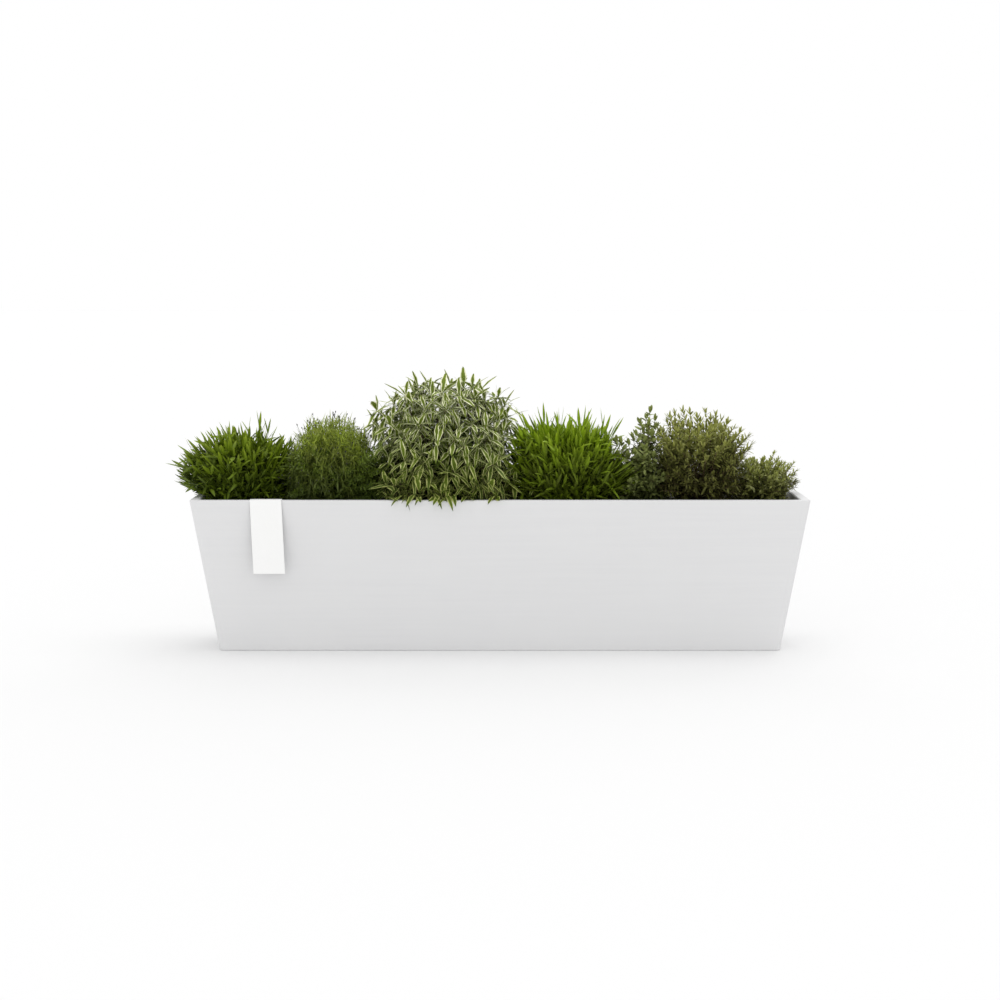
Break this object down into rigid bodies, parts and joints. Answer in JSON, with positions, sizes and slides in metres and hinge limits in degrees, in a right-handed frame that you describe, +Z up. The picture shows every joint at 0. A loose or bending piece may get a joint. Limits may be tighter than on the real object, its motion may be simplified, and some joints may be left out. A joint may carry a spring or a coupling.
{
  "type": "indoor herb planter",
  "caption": "Long drafted indoor trough planted with grasses, small-leaved herbs and a variegated shrub, with drain plugs and a folded card over its rim.",
  "frame": {"origin": "on the standing surface under the middle of the trough's base", "axes": "+X along the trough to the right, front at -Y, +Z up"},
  "size_m": [0.8249, 0.2106, 0.352],
  "materials": {
    "trough_plastic": "matte",
    "plug_rubber": "matte",
    "fired_clay": "matte",
    "fleece": "matte",
    "soil": "matte",
    "card": "matte",
    "root_soil": "matte",
    "woody_stem": "matte",
    "leaf_base": "matte",
    "dwarf_bamboo_leaf": "matte",
    "feathery_herb_leaf": "matte",
    "variegated_shrub_leaf": "matte",
    "grass_tuft_leaf": "matte",
    "marjoram_leaf": "matte",
    "thyme_bush_leaf": "matte",
    "young_thyme_leaf": "matte"
  },
  "bodies": {
    "planter": {"trough": "trough_plastic", "drainage_pebbles": "fired_clay", "filter_fleece": "fleece", "potting_soil": "soil"},
    "left_plug": {"drain_plug_left": "plug_rubber"},
    "right_plug": {"drain_plug_right": "plug_rubber"},
    "card": {"rim_card": "card"},
    "dwarf_bamboo": {"dwarf_bamboo_root_ball": "root_soil", "dwarf_bamboo_crown": "leaf_base", "dwarf_bamboo_foliage": "dwarf_bamboo_leaf"},
    "feathery_herb": {"feathery_herb_root_ball": "root_soil", "feathery_herb_crown": "leaf_base", "feathery_herb_foliage": "feathery_herb_leaf"},
    "variegated_shrub": {"variegated_shrub_root_ball": "root_soil", "variegated_shrub_stems": "woody_stem", "variegated_shrub_foliage": "variegated_shrub_leaf"},
    "grass_tuft": {"grass_tuft_root_ball": "root_soil", "grass_tuft_crown": "leaf_base", "grass_tuft_foliage": "grass_tuft_leaf"},
    "marjoram": {"marjoram_root_ball": "root_soil", "marjoram_stems": "woody_stem", "marjoram_foliage": "marjoram_leaf"},
    "thyme_bush": {"thyme_bush_root_ball": "root_soil", "thyme_bush_stems": "woody_stem", "thyme_bush_foliage": "thyme_bush_leaf"},
    "young_thyme": {"young_thyme_root_ball": "root_soil", "young_thyme_stems": "woody_stem", "young_thyme_foliage": "young_thyme_leaf"}
  },
  "joints": [
    {"name": "left_plug_pull", "type": "slide", "parent": "planter", "child": "left_plug", "axis": [0, 0, -1], "range_m": [0, 0.03]},
    {"name": "right_plug_pull", "type": "slide", "parent": "planter", "child": "right_plug", "axis": [0, 0, -1], "range_m": [0, 0.03]},
    {"name": "card_lift", "type": "slide", "parent": "planter", "child": "card", "axis": [0, 0, 1], "range_m": [0, 0.11]},
    {"name": "dwarf_bamboo_lift", "type": "slide", "parent": "planter", "child": "dwarf_bamboo", "axis": [0, 0, 1], "range_m": [0, 0.13]},
    {"name": "feathery_herb_lift", "type": "slide", "parent": "planter", "child": "feathery_herb", "axis": [0, 0, 1], "range_m": [0, 0.13]},
    {"name": "variegated_shrub_lift", "type": "slide", "parent": "planter", "child": "variegated_shrub", "axis": [0, 0, 1], "range_m": [0, 0.13]},
    {"name": "grass_tuft_lift", "type": "slide", "parent": "planter", "child": "grass_tuft", "axis": [0, 0, 1], "range_m": [0, 0.13]},
    {"name": "marjoram_lift", "type": "slide", "parent": "planter", "child": "marjoram", "axis": [0, 0, 1], "range_m": [0, 0.13]},
    {"name": "thyme_bush_lift", "type": "slide", "parent": "planter", "child": "thyme_bush", "axis": [0, 0, 1], "range_m": [0, 0.13]},
    {"name": "young_thyme_lift", "type": "slide", "parent": "planter", "child": "young_thyme", "axis": [0, 0, 1], "range_m": [0, 0.13]}
  ]
}
